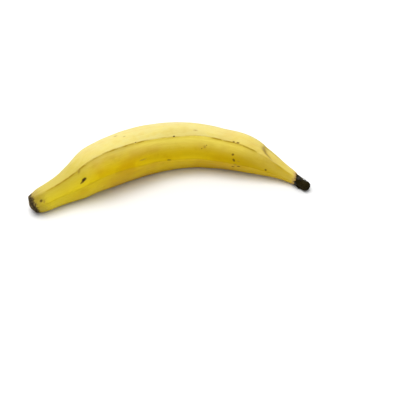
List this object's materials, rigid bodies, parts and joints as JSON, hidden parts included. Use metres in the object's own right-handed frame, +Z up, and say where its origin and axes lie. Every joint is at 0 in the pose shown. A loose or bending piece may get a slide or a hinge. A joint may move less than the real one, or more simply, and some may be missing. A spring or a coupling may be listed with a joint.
{
  "type": "plantain",
  "caption": "Whole ripe plantain with an angular curved body, a cut neck at one end and a dried blossom tip at the other, lying on its side.",
  "frame": {"origin": "middle of the fruit's footprint, on the surface that it lies on", "axes": "+X from the cut stem end to the dried blossom tip, +Y out of the curve, away from its hollow side, +Z up"},
  "size_m": [0.2715, 0.0874, 0.0448],
  "materials": {
    "peel": "satin waxy yellow peel"
  },
  "bodies": {
    "root": {"plantain": "peel"}
  },
  "joints": []
}
